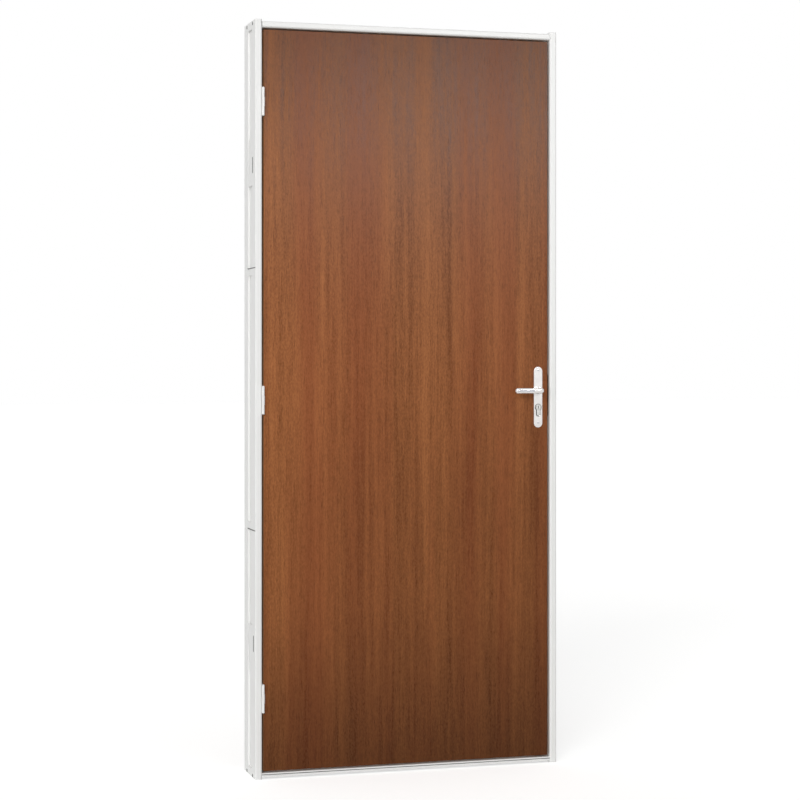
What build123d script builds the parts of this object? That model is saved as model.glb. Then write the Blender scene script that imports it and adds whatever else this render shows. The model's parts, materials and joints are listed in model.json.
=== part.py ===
"""Flush wooden door hung in a white metal frame, with lever handles and a profile cylinder lock.

Millimetres. X runs from the hinge jamb's wall side to the lock jamb, the front faces -Y, Z is up.
The origin is on the hinge jamb's wall side, midway across its front shoulder, at floor level.
"""
from build123d import *
import os

os.makedirs("parts", exist_ok=True)

# Frame
FRAME_WIDTH = 880
FRAME_HEIGHT = 2090
FRAME_DEPTH = 148
FRAME_WALL = 2
JAMB_FACE = 20
HEAD_FACE = 18
HEAD_DROP = 5
SHOULDER = 40
BACK_SHOULDER = 52
GROOVE_DEPTH = 5
GROOVE_FROM_END = 22
GROOVE_CORNER = 9
WALL_EDGE_RADIUS = 4
ROOM_EDGE_RADIUS = 6
MIN_RADIUS = 0.4

# Threshold and stops
THRESHOLD_HEIGHT = 12
THRESHOLD_RAISE = 5
THRESHOLD_SETBACK = 2
THRESHOLD_EDGE_RADIUS = 1.5
THRESHOLD_GROOVE_DROP = 3.5
THRESHOLD_GROOVE_HEIGHT = 2
THRESHOLD_GROOVE_DEPTH = 1.2
STOP_WIDTH = 15
STOP_PROUD = 15
STOP_EDGE_RADIUS = 2

# Leaf
LEAF_THICKNESS = 40
LEAF_SETBACK = 4
HINGE_GAP = 5
LOCK_GAP = 6.5
TOP_GAP = 5
BOTTOM_GAP = 5
STOP_GAP = 5
SKIN = 4
STILE_WIDTH = 70
RAIL_HEIGHT = 90

# Ties and anchors on the wall side of the jambs
TIE_HEIGHT = 19
TIE_THICKNESS = 4.5
TIE_FROM_END = 694
JOINT_WIDTH = 2.6
JOINT_DEPTH = 1.2
ANCHOR_WIDTH = 50
ANCHOR_THICKNESS = 2
ANCHOR_FLAT = 45
ANCHOR_BENT = 88
ANCHOR_CORNER = 8
UPPER_ANCHOR_FROM_END = 323
LOWER_ANCHOR_FROM_END = 287

# Hinges
HINGE_HEIGHT = 77
HINGE_FROM_END = 222
KNUCKLE_DIAMETER = 7.2
KNUCKLE_PROUD = 3
KNUCKLE_GAP = 0.4
PIN_DIAMETER = 3.6
PIN_HEAD_DIAMETER = 5.6
PIN_HEAD_HEIGHT = 1.5
PIN_CLEARANCE = 0.08
HINGE_PLATE = 2
HINGE_PLATE_REACH = 33
DOOR_PLATE_PROUD = 0.5

# Lock in the leaf's edge
BACKSET = 28.5
SPINDLE_HEIGHT = 1065
CYLINDER_DROP = 48
FACEPLATE_HEIGHT = 235
FACEPLATE_WIDTH = 20
FACEPLATE_THICKNESS = 3
CASE_HEIGHT = 165
CASE_DEPTH = 48
CASE_THICKNESS = 16
LATCH_HEIGHT = 18
LATCH_RISE = 24
LATCH_BEVEL = 7
DEAD_BOLT_HEIGHT = 26
BOLT_THICKNESS = 10
BOLT_DEPTH = 18
STRIKE_MARGIN = 12
STRIKE_CLEARANCE = 1.5

# Cylinder and handles
CYLINDER_ROUND = 17
CYLINDER_HEIGHT = 33
CYLINDER_LEG = 10
CYLINDER_PROUD = 2
KEYWAY_WIDTH = 1.6
KEYWAY_HEIGHT = 8.5
KEYWAY_DEPTH = 12
FIT_CLEARANCE = 0.25
PLATE_HOLE_CLEARANCE = 1.5
PLATE_WIDTH = 26
PLATE_HEIGHT = 174
PLATE_THICKNESS = 3
PLATE_ABOVE_SPINDLE = 68
PLATE_BEVEL = 1
SPINDLE_SIDE = 8
SPINDLE_HOLE = 13
SPINDLE_SEAT = 14
NECK_DIAMETER = 19
NECK_CLEARANCE = 0.08
NECK_LENGTH = 12
LEVER_STANDOFF = 26
LEVER_THICKNESS = 10
LEVER_HEIGHT = 15
LEVER_LENGTH = 80
LEVER_BEVEL = 4
LEVER_TIP_BEVEL = 3
ELBOW_OUTER_RADIUS = 12
ELBOW_INNER_RADIUS = 3

# Places worked out from the sizes above
FRONT = -SHOULDER / 2
BACK = FRONT + FRAME_DEPTH
GROOVE_FRONT = FRONT + SHOULDER
GROOVE_BACK = BACK - BACK_SHOULDER
GROOVE_MIDDLE = (GROOVE_FRONT + GROOVE_BACK) / 2
MIDDLE_X = FRAME_WIDTH / 2
HEAD_TOP = FRAME_HEIGHT - HEAD_DROP
HEAD_UNDERSIDE = HEAD_TOP - HEAD_FACE
THRESHOLD_TOP = THRESHOLD_RAISE + THRESHOLD_HEIGHT
CLEAR_LEFT = JAMB_FACE
CLEAR_RIGHT = FRAME_WIDTH - JAMB_FACE
LEAF_LEFT = CLEAR_LEFT + HINGE_GAP
LEAF_RIGHT = CLEAR_RIGHT - LOCK_GAP
LEAF_BOTTOM = THRESHOLD_TOP + BOTTOM_GAP
LEAF_TOP = HEAD_UNDERSIDE - TOP_GAP
LEAF_FRONT = FRONT + LEAF_SETBACK
LEAF_BACK = LEAF_FRONT + LEAF_THICKNESS
CORE_FRONT = LEAF_FRONT + SKIN
CORE_BACK = LEAF_BACK - SKIN
STOP_FRONT = LEAF_BACK + STOP_GAP
STOP_BACK = STOP_FRONT + STOP_WIDTH
AXIS_X = CLEAR_LEFT + HINGE_PLATE
AXIS_Y = FRONT - KNUCKLE_PROUD
HINGE_HEIGHTS = {
    "upper": HEAD_TOP - HINGE_FROM_END,
    "middle": (LEAF_TOP + LEAF_BOTTOM) / 2,
    "lower": HINGE_FROM_END,
}
SPINDLE_X = LEAF_RIGHT - BACKSET
CYLINDER_Z = SPINDLE_HEIGHT - CYLINDER_DROP
LEAF_MIDDLE_Y = (LEAF_FRONT + LEAF_BACK) / 2
LOCK_MIDDLE_Z = (SPINDLE_HEIGHT + CYLINDER_Z) / 2
LATCH_Z = SPINDLE_HEIGHT + LATCH_RISE
PLATE_MIDDLE_Z = SPINDLE_HEIGHT + PLATE_ABOVE_SPINDLE - PLATE_HEIGHT / 2
PLATE_FRONT = LEAF_FRONT - PLATE_THICKNESS
PLATE_BACK = LEAF_BACK + PLATE_THICKNESS


def block(x0, x1, y0, y1, z0, z1):
    """A box between two corners."""
    centre = Pos((x0 + x1) / 2, (y0 + y1) / 2, (z0 + z1) / 2)
    return centre * Box(x1 - x0, y1 - y0, z1 - z0)


def upright(x, y, z0, z1, diameter):
    """A round bar standing between two heights."""
    return Pos(x, y, (z0 + z1) / 2) * Cylinder(diameter / 2, z1 - z0)


def crosswise(x, z, y0, y1, diameter):
    """A round bar lying from front to back."""
    return Pos(x, (y0 + y1) / 2, z) * Rot(90, 0, 0) * Cylinder(diameter / 2, y1 - y0)


def front_to_back(outline, x, z, y0, y1):
    """A flat outline drawn in X and Z, given thickness from y0 back to y1."""
    return Pos(x, y1, z) * Rot(90, 0, 0) * extrude(outline, y1 - y0)


def mirrored(shape):
    """The same piece on the lock side."""
    return mirror(shape, about=Plane.YZ.offset(MIDDLE_X))


def save(name, shape):
    """Write one piece to its own file."""
    export_step(shape, os.path.join("parts", name + ".step"))


def member_outline(face, inset):
    """Outline of a jamb or head: wall side at x = 0, front at FRONT, shrunk all round by inset."""
    width = face - 2 * inset
    depth = FRAME_DEPTH - 2 * inset
    outline = Pos(face / 2, (FRONT + BACK) / 2) * Rectangle(width, depth)
    wall_corners = outline.vertices().group_by(Axis.X)[0]
    outline = fillet(wall_corners, max(WALL_EDGE_RADIUS - inset, MIN_RADIUS))
    room_corners = outline.vertices().group_by(Axis.X)[-1]
    return fillet(room_corners, max(ROOM_EDGE_RADIUS - inset, MIN_RADIUS))


def groove(length, grow):
    """Round-cornered recess pressed into the wall side of a member, grown all round by grow."""
    height = length - 2 * GROOVE_FROM_END + 2 * grow
    width = GROOVE_BACK - GROOVE_FRONT + 2 * grow
    outline = RectangleRounded(width, height, GROOVE_CORNER + grow)
    floor = Plane(origin=(GROOVE_DEPTH + grow, GROOVE_MIDDLE, length / 2), x_dir=(0, 1, 0), z_dir=(1, 0, 0))
    return extrude(floor * outline, -2 * (GROOVE_DEPTH + grow))


def member(face, length):
    """Hollow jamb or head standing on its end, with a groove pressed into its wall side."""
    outside = extrude(member_outline(face, 0), length) - groove(length, 0)
    inside = extrude(member_outline(face, FRAME_WALL), length) - groove(length, FRAME_WALL)
    return outside - inside


def joint_line(height):
    """Fine cut across the wall side where two lengths of the jamb's lining meet."""
    return block(0, JOINT_DEPTH, FRONT, BACK, height - JOINT_WIDTH / 2, height + JOINT_WIDTH / 2)


def make_jamb():
    """Hinge jamb, which runs the whole height."""
    upper_joint = FRAME_HEIGHT - TIE_FROM_END + (TIE_HEIGHT + JOINT_WIDTH) / 2
    lower_joint = TIE_FROM_END - (TIE_HEIGHT + JOINT_WIDTH) / 2
    return member(JAMB_FACE, FRAME_HEIGHT) - joint_line(upper_joint) - joint_line(lower_joint)


def make_lock_jamb():
    """Lock jamb, with a window in its rebate face for the strike plate."""
    y0, y1, z0, z1 = strike_window()
    window = block(CLEAR_RIGHT - FRAME_WALL, CLEAR_RIGHT + FRAME_WALL, y0, y1, z0, z1)
    return mirrored(make_jamb()) - window


def make_head():
    """Head between the jambs, with its groove upward."""
    bar = member(HEAD_FACE, CLEAR_RIGHT - CLEAR_LEFT)
    return Pos(CLEAR_LEFT, 0, HEAD_TOP) * Rot(0, 90, 0) * bar


def make_threshold():
    """Low folded threshold: a top plate with a grooved lip down at front and back."""
    front = FRONT + THRESHOLD_SETBACK
    back = BACK - THRESHOLD_SETBACK
    outer = block(CLEAR_LEFT, CLEAR_RIGHT, front, back, THRESHOLD_RAISE, THRESHOLD_TOP)
    long_edges = outer.edges().filter_by(Axis.X).group_by(Axis.Z)[-1]
    outer = fillet(long_edges, THRESHOLD_EDGE_RADIUS)
    groove_top = THRESHOLD_TOP - THRESHOLD_GROOVE_DROP
    for face_y in (front, back):
        y0 = face_y - THRESHOLD_GROOVE_DEPTH
        y1 = face_y + THRESHOLD_GROOVE_DEPTH
        outer -= block(CLEAR_LEFT, CLEAR_RIGHT, y0, y1, groove_top - THRESHOLD_GROOVE_HEIGHT, groove_top)
    inside_top = THRESHOLD_TOP - FRAME_WALL
    hollow = block(CLEAR_LEFT, CLEAR_RIGHT, front + FRAME_WALL, back - FRAME_WALL, 0, inside_top)
    return outer - hollow


def make_side_stop():
    """Upright stop strip on the hinge jamb."""
    strip = block(CLEAR_LEFT, CLEAR_LEFT + STOP_PROUD, STOP_FRONT, STOP_BACK, THRESHOLD_TOP, HEAD_UNDERSIDE)
    return fillet(strip.edges().filter_by(Axis.Z).group_by(Axis.X)[-1], STOP_EDGE_RADIUS)


def make_head_stop():
    """Stop strip under the head, between the upright ones."""
    left = CLEAR_LEFT + STOP_PROUD
    right = CLEAR_RIGHT - STOP_PROUD
    strip = block(left, right, STOP_FRONT, STOP_BACK, HEAD_UNDERSIDE - STOP_PROUD, HEAD_UNDERSIDE)
    return fillet(strip.edges().filter_by(Axis.X).group_by(Axis.Z)[0], STOP_EDGE_RADIUS)


def make_tie(height):
    """Flat tie across the groove of the hinge jamb."""
    z0 = height - TIE_HEIGHT / 2
    return block(GROOVE_DEPTH - TIE_THICKNESS, GROOVE_DEPTH, GROOVE_FRONT, GROOVE_BACK, z0, z0 + TIE_HEIGHT)


def make_anchor(fixed_end, way):
    """Wall anchor in the groove: a strip whose free end, up or down, is bent out to the wall plane."""
    bend = fixed_end + way * ANCHOR_FLAT
    free_end = bend + way * ANCHOR_BENT
    floor = GROOVE_DEPTH
    profile = Polyline(
        (floor, fixed_end),
        (floor, bend),
        (ANCHOR_THICKNESS, free_end),
        (0, free_end),
        (floor - ANCHOR_THICKNESS, bend),
        (floor - ANCHOR_THICKNESS, fixed_end),
        close=True,
    )
    back = GROOVE_MIDDLE + ANCHOR_WIDTH / 2
    strip = front_to_back(make_face(profile), 0, 0, back - ANCHOR_WIDTH, back)
    ends = strip.edges().filter_by(Axis.X).sort_by(Axis.Z)
    free_corners = ends[-2:] if way > 0 else ends[:2]
    return fillet(free_corners, ANCHOR_CORNER)


def knuckle_spans(middle):
    """Heights of the three knuckles of a hinge, from the lowest up."""
    bottom = middle - HINGE_HEIGHT / 2
    length = (HINGE_HEIGHT - 2 * KNUCKLE_GAP) / 3
    starts = [bottom + index * (length + KNUCKLE_GAP) for index in range(3)]
    return [(start, start + length) for start in starts]


def hinge_plate(x0, front, spans, middle):
    """Plate of a hinge with knuckles on the given spans and room for the other half's knuckles."""
    bottom = middle - HINGE_HEIGHT / 2
    top = middle + HINGE_HEIGHT / 2
    plate = block(x0, x0 + HINGE_PLATE, front, FRONT + HINGE_PLATE_REACH, bottom, top)
    plate -= upright(AXIS_X, AXIS_Y, bottom, top, KNUCKLE_DIAMETER + 2 * KNUCKLE_GAP)
    for z0, z1 in spans:
        plate += upright(AXIS_X, AXIS_Y, z0, z1, KNUCKLE_DIAMETER)
        plate += block(x0, x0 + HINGE_PLATE, AXIS_Y, FRONT + KNUCKLE_DIAMETER, z0, z1)
    return plate - upright(AXIS_X, AXIS_Y, bottom, top, PIN_DIAMETER + 2 * PIN_CLEARANCE)


def make_hinge_pin(middle):
    """Pin through the three knuckles, with a flat head on top."""
    top = middle + HINGE_HEIGHT / 2
    shank = upright(AXIS_X, AXIS_Y, middle - HINGE_HEIGHT / 2, top, PIN_DIAMETER)
    return shank + upright(AXIS_X, AXIS_Y, top, top + PIN_HEAD_HEIGHT, PIN_HEAD_DIAMETER)


def door_plate_left():
    """Hinge side of a hinge's door plate, a little proud of the leaf's edge."""
    return LEAF_LEFT - DOOR_PLATE_PROUD


def hinge_mortises():
    """Shallow cuts in the leaf's edge that take the door plates."""
    cuts = []
    back = FRONT + HINGE_PLATE_REACH
    left = door_plate_left()
    for middle in HINGE_HEIGHTS.values():
        z0 = middle - HINGE_HEIGHT / 2
        cuts.append(block(left, left + HINGE_PLATE, AXIS_Y, back, z0, z0 + HINGE_HEIGHT))
    return cuts


def cylinder_outline(clearance):
    """Round top and narrow rounded leg of a profile cylinder, centred on its plug."""
    width = CYLINDER_LEG + 2 * clearance
    leg_end = CYLINDER_ROUND / 2 - CYLINDER_HEIGHT + CYLINDER_LEG / 2
    outline = Circle(CYLINDER_ROUND / 2 + clearance)
    outline += Pos(0, leg_end / 2) * Rectangle(width, -leg_end)
    outline += Pos(0, leg_end) * Circle(width / 2)
    return outline


def cylinder_hole(y0, y1, clearance):
    """Cut that lets the cylinder through from front to back."""
    return front_to_back(cylinder_outline(clearance), SPINDLE_X, CYLINDER_Z, y0, y1)


def spindle_hole(y0, y1, diameter):
    """Round cut about the spindle."""
    return crosswise(SPINDLE_X, SPINDLE_HEIGHT, y0, y1, diameter)


def make_skin(y0, y1):
    """Face of the leaf, bored for the lock."""
    skin = block(LEAF_LEFT, LEAF_RIGHT, y0, y1, LEAF_BOTTOM, LEAF_TOP)
    return skin - spindle_hole(y0, y1, SPINDLE_SEAT) - cylinder_hole(y0, y1, FIT_CLEARANCE)


def make_front_skin():
    """Front face, notched for the hinges."""
    skin = make_skin(LEAF_FRONT, CORE_FRONT)
    for cut in hinge_mortises():
        skin -= cut
    return skin


def make_hinge_stile():
    """Stile along the hinges."""
    stile = block(LEAF_LEFT, LEAF_LEFT + STILE_WIDTH, CORE_FRONT, CORE_BACK, LEAF_BOTTOM, LEAF_TOP)
    for cut in hinge_mortises():
        stile -= cut
    return stile


def faceplate_block(extra):
    """Space of the lock's faceplate in the leaf's edge."""
    half = FACEPLATE_HEIGHT / 2 + extra
    y0 = LEAF_MIDDLE_Y - FACEPLATE_WIDTH / 2 - extra
    y1 = LEAF_MIDDLE_Y + FACEPLATE_WIDTH / 2 + extra
    left = LEAF_RIGHT - FACEPLATE_THICKNESS
    return block(left, LEAF_RIGHT, y0, y1, LOCK_MIDDLE_Z - half, LOCK_MIDDLE_Z + half)


def case_block(extra):
    """Space of the lock case behind the faceplate."""
    half = CASE_HEIGHT / 2 + extra
    y0 = LEAF_MIDDLE_Y - CASE_THICKNESS / 2 - extra
    y1 = LEAF_MIDDLE_Y + CASE_THICKNESS / 2 + extra
    right = LEAF_RIGHT - FACEPLATE_THICKNESS
    left = LEAF_RIGHT - CASE_DEPTH - extra
    return block(left, right, y0, y1, LOCK_MIDDLE_Z - half, LOCK_MIDDLE_Z + half)


def bolt_block(middle, height, extra):
    """Space of a bolt drawn back flush with the faceplate."""
    half = height / 2 + extra
    y0 = LEAF_MIDDLE_Y - BOLT_THICKNESS / 2 - extra
    y1 = LEAF_MIDDLE_Y + BOLT_THICKNESS / 2 + extra
    return block(LEAF_RIGHT - BOLT_DEPTH, LEAF_RIGHT, y0, y1, middle - half, middle + half)


def bolt_cuts():
    """Cuts for the two bolts in the faceplate and case."""
    latch = bolt_block(LATCH_Z, LATCH_HEIGHT, FIT_CLEARANCE)
    dead = bolt_block(CYLINDER_Z, DEAD_BOLT_HEIGHT, FIT_CLEARANCE)
    return [latch, dead]


def make_latch_bolt():
    """Latch bolt whose closing side is bevelled, so that it rides over the strike plate."""
    bolt = bolt_block(LATCH_Z, LATCH_HEIGHT, 0)
    nose = bolt.faces().sort_by(Axis.X)[-1].edges().filter_by(Axis.Z).sort_by(Axis.Y)[-1]
    return chamfer(nose, LATCH_BEVEL)


def make_lock_stile():
    """Stile along the lock, mortised for the lock case and bored for spindle and cylinder."""
    stile = block(LEAF_RIGHT - STILE_WIDTH, LEAF_RIGHT, CORE_FRONT, CORE_BACK, LEAF_BOTTOM, LEAF_TOP)
    stile -= faceplate_block(0)
    stile -= case_block(FIT_CLEARANCE)
    stile -= spindle_hole(CORE_FRONT, CORE_BACK, SPINDLE_SEAT)
    return stile - cylinder_hole(CORE_FRONT, CORE_BACK, FIT_CLEARANCE)


def make_rail(z0):
    """Rail between the stiles."""
    left = LEAF_LEFT + STILE_WIDTH
    right = LEAF_RIGHT - STILE_WIDTH
    return block(left, right, CORE_FRONT, CORE_BACK, z0, z0 + RAIL_HEIGHT)


def make_faceplate():
    """Faceplate of the lock with a slot for each bolt."""
    plate = faceplate_block(0)
    for cut in bolt_cuts():
        plate -= cut
    return plate


def make_lock_case():
    """Lock case, open for bolts, spindle and cylinder."""
    case = case_block(0)
    for cut in bolt_cuts():
        case -= cut
    case -= spindle_hole(LEAF_FRONT, LEAF_BACK, SPINDLE_HOLE)
    return case - cylinder_hole(LEAF_FRONT, LEAF_BACK, FIT_CLEARANCE)


def strike_window():
    """Front, back, bottom and top of the strike plate in the lock jamb."""
    z0 = CYLINDER_Z - DEAD_BOLT_HEIGHT / 2 - STRIKE_MARGIN
    z1 = LATCH_Z + LATCH_HEIGHT / 2 + STRIKE_MARGIN
    y0 = LEAF_MIDDLE_Y - FACEPLATE_WIDTH / 2
    return y0, y0 + FACEPLATE_WIDTH, z0, z1


def make_strike_plate():
    """Strike plate flush with the lock jamb's rebate face, with a hole for each bolt."""
    y0, y1, z0, z1 = strike_window()
    plate = block(CLEAR_RIGHT, CLEAR_RIGHT + FRAME_WALL, y0, y1, z0, z1)
    for middle, height in ((LATCH_Z, LATCH_HEIGHT), (CYLINDER_Z, DEAD_BOLT_HEIGHT)):
        half = height / 2 + STRIKE_CLEARANCE
        hole_y = BOLT_THICKNESS / 2 + STRIKE_CLEARANCE
        low = LEAF_MIDDLE_Y - hole_y
        high = LEAF_MIDDLE_Y + hole_y
        plate -= block(CLEAR_RIGHT, CLEAR_RIGHT + FRAME_WALL, low, high, middle - half, middle + half)
    return plate


def make_cylinder():
    """Profile cylinder through the leaf, with a keyway at each end."""
    front = PLATE_FRONT - CYLINDER_PROUD
    back = PLATE_BACK + CYLINDER_PROUD
    body = front_to_back(cylinder_outline(0), SPINDLE_X, CYLINDER_Z, front, back)
    keyway = Rectangle(KEYWAY_WIDTH, KEYWAY_HEIGHT)
    body -= front_to_back(keyway, SPINDLE_X, CYLINDER_Z, front, front + KEYWAY_DEPTH)
    return body - front_to_back(keyway, SPINDLE_X, CYLINDER_Z, back - KEYWAY_DEPTH, back)


def make_front_plate():
    """Long handle plate with round ends and a bevelled front edge."""
    outline = SlotOverall(PLATE_HEIGHT, PLATE_WIDTH, rotation=90)
    plate = front_to_back(outline, SPINDLE_X, PLATE_MIDDLE_Z, PLATE_FRONT, LEAF_FRONT)
    plate = chamfer(plate.faces().sort_by(Axis.Y)[0].edges(), PLATE_BEVEL)
    plate -= spindle_hole(PLATE_FRONT, LEAF_FRONT, NECK_DIAMETER + 2 * NECK_CLEARANCE)
    return plate - cylinder_hole(PLATE_FRONT, LEAF_FRONT, PLATE_HOLE_CLEARANCE)


def lever_bar():
    """Bevelled bar that leaves the neck, bends at an elbow and runs towards the hinges."""
    bar_back = PLATE_FRONT - LEVER_STANDOFF
    bar_front = bar_back - LEVER_THICKNESS
    right = SPINDLE_X + LEVER_HEIGHT / 2
    left = SPINDLE_X - LEVER_HEIGHT / 2
    tip = SPINDLE_X - LEVER_LENGTH
    plan = make_face(
        Polyline(
            (tip, bar_front),
            (right, bar_front),
            (right, PLATE_FRONT),
            (left, PLATE_FRONT),
            (left, bar_back),
            (tip, bar_back),
            close=True,
        )
    )
    plan = chamfer(plan.vertices().group_by(Axis.X)[0], LEVER_TIP_BEVEL)
    plan = fillet(plan.vertices().sort_by_distance((right, bar_front))[0], ELBOW_OUTER_RADIUS)
    plan = fillet(plan.vertices().sort_by_distance((left, bar_back))[0], ELBOW_INNER_RADIUS)
    bar = Pos(0, 0, SPINDLE_HEIGHT - LEVER_HEIGHT / 2) * extrude(plan, LEVER_HEIGHT)
    rims = bar.faces().group_by(Axis.Z)[0].edges() + bar.faces().group_by(Axis.Z)[-1].edges()
    return chamfer(rims, LEVER_BEVEL)


def make_front_lever():
    """Lever: a round neck out of the plate and the bent bar on it."""
    neck = crosswise(SPINDLE_X, SPINDLE_HEIGHT, PLATE_FRONT - NECK_LENGTH, LEAF_FRONT, NECK_DIAMETER)
    half = SPINDLE_SIDE / 2
    socket = block(
        SPINDLE_X - half,
        SPINDLE_X + half,
        PLATE_FRONT - LEVER_STANDOFF,
        LEAF_FRONT,
        SPINDLE_HEIGHT - half,
        SPINDLE_HEIGHT + half,
    )
    return lever_bar() + neck - socket


def make_spindle():
    """Square bar that joins the two levers."""
    half = SPINDLE_SIDE / 2
    y0 = PLATE_FRONT - LEVER_STANDOFF
    y1 = PLATE_BACK + LEVER_STANDOFF
    return block(SPINDLE_X - half, SPINDLE_X + half, y0, y1, SPINDLE_HEIGHT - half, SPINDLE_HEIGHT + half)


def to_back(shape):
    """The same handle piece on the back of the leaf."""
    return mirror(shape, about=Plane.XZ.offset(-LEAF_MIDDLE_Y))


# Frame members and stops
save("hinge_jamb", make_jamb())
save("lock_jamb", make_lock_jamb())
save("head", make_head())
save("threshold", make_threshold())
save("hinge_stop", make_side_stop())
save("lock_stop", mirrored(make_side_stop()))
save("head_stop", make_head_stop())
save("strike_plate", make_strike_plate())

# Wall side of the jambs
WALL_SIDE_PIECES = {
    "upper_tie": make_tie(FRAME_HEIGHT - TIE_FROM_END),
    "lower_tie": make_tie(TIE_FROM_END),
    "upper_anchor": make_anchor(FRAME_HEIGHT - UPPER_ANCHOR_FROM_END, -1),
    "lower_anchor": make_anchor(LOWER_ANCHOR_FROM_END, 1),
}
for piece_name, piece in WALL_SIDE_PIECES.items():
    save("hinge_jamb_" + piece_name, piece)
    save("lock_jamb_" + piece_name, mirrored(piece))

# Hinges
for place, hinge_middle in HINGE_HEIGHTS.items():
    low, centre_span, high = knuckle_spans(hinge_middle)
    jamb_plate = hinge_plate(CLEAR_LEFT, FRONT, [low, high], hinge_middle)
    door_plate = hinge_plate(door_plate_left(), LEAF_FRONT, [centre_span], hinge_middle)
    save(place + "_hinge_jamb_plate", jamb_plate)
    save(place + "_hinge_door_plate", door_plate)
    save(place + "_hinge_pin", make_hinge_pin(hinge_middle))

# Leaf
save("front_skin", make_front_skin())
save("back_skin", make_skin(CORE_BACK, LEAF_BACK))
save("hinge_stile", make_hinge_stile())
save("lock_stile", make_lock_stile())
save("top_rail", make_rail(LEAF_TOP - RAIL_HEIGHT))
save("bottom_rail", make_rail(LEAF_BOTTOM))

# Lock and handles
save("lock_faceplate", make_faceplate())
save("lock_case", make_lock_case())
save("latch_bolt", make_latch_bolt())
save("dead_bolt", bolt_block(CYLINDER_Z, DEAD_BOLT_HEIGHT, 0))
save("lock_cylinder", make_cylinder())
save("front_plate", make_front_plate())
save("back_plate", to_back(make_front_plate()))
save("front_lever", make_front_lever())
save("back_lever", to_back(make_front_lever()))
save("spindle", make_spindle())
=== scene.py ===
"""Looks of a flush wooden door in a white metal frame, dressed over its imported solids.

Metres, in the part's own frame: X runs from the hinge jamb to the lock jamb, the front faces -Y, Z is up.
"""
import json
import logging
import math
from dataclasses import dataclass, replace
from enum import Enum
from typing import Any

import bmesh
import bpy
from mathutils import Matrix, Vector

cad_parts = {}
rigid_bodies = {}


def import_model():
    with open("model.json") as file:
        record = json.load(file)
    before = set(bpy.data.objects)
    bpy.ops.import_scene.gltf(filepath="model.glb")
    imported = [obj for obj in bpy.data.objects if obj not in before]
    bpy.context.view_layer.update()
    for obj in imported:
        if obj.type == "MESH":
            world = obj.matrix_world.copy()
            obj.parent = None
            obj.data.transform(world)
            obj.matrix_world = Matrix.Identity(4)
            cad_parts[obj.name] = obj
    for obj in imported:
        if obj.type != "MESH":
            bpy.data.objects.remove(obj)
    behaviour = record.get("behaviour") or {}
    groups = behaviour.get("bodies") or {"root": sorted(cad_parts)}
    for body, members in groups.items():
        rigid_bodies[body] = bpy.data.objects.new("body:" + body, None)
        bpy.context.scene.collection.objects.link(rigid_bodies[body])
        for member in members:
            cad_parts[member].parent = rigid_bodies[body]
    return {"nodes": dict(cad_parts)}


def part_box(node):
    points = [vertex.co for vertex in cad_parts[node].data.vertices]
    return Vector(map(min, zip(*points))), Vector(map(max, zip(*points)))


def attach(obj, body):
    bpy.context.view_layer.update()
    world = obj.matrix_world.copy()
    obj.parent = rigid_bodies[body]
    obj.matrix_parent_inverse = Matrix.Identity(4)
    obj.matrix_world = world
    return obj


for leftover in list(bpy.data.objects):
    bpy.data.objects.remove(leftover)
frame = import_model()

log = logging.getLogger("door")

MM = 0.001
Node = bpy.types.Node
Socket = bpy.types.NodeSocket
Material = bpy.types.Material
Mesh = bpy.types.Mesh
Surface = bmesh.types.BMesh
Colour = tuple[float, float, float, float]
Point = tuple[float, float, float]
Span = tuple[float, float]
UNIT: Span = (0.0, 1.0)
WHITE: Colour = (1.0, 1.0, 1.0, 1.0)

SRGB_KNEE = 0.04045
SRGB_SLOPE = 12.92
SRGB_OFFSET = 0.055
SRGB_POWER = 2.4

ROUND_STEPS = 10
DOUBLES_SHARE = 0.01


class Body(Enum):
    """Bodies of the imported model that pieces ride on."""

    FRAME = "frame"
    LEAF = "leaf"
    LEVERS = "lever_set"


class Slot(Enum):
    """Names of the record's material slots."""

    FRAME_WHITE = "frame_white"
    HINGE_WHITE = "hinge_white"
    HANDLE = "handle_metal"
    STEEL = "lock_steel"
    CYLINDER = "cylinder_metal"


class Facing(Enum):
    """Direction that a face or a small piece looks in."""

    LEFT = (-1.0, 0.0, 0.0)
    RIGHT = (1.0, 0.0, 0.0)
    FRONT = (0.0, -1.0, 0.0)
    BACK = (0.0, 1.0, 0.0)
    DOWN = (0.0, 0.0, -1.0)


class Drive(Enum):
    """Shape of the recess in a screw's head."""

    SLOT = "slot"
    CROSS = "cross"
    HEX = "hex"


class Grain(Enum):
    """Direction of the wood's grain, as a turn of its pattern about Y."""

    UPRIGHT = 0.0
    ACROSS = math.pi / 2


JAMBS = (("hinge_jamb", Facing.LEFT), ("lock_jamb", Facing.RIGHT))
SIDES = (("front", Facing.FRONT), ("back", Facing.BACK))


def linear(shade: str) -> Colour:
    """Turn a written colour into the linear values that shaders take.

    Args:
        shade: Six hex digits, as in "8f583a".

    Returns:
        Linear red, green, blue and an alpha of 1.
    """
    parts = [int(shade[start:start + 2], 16) / 255 for start in (0, 2, 4)]
    red, green, blue = [
        part / SRGB_SLOPE if part <= SRGB_KNEE else ((part + SRGB_OFFSET) / (1 + SRGB_OFFSET)) ** SRGB_POWER
        for part in parts
    ]
    return red, green, blue, 1.0


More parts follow.
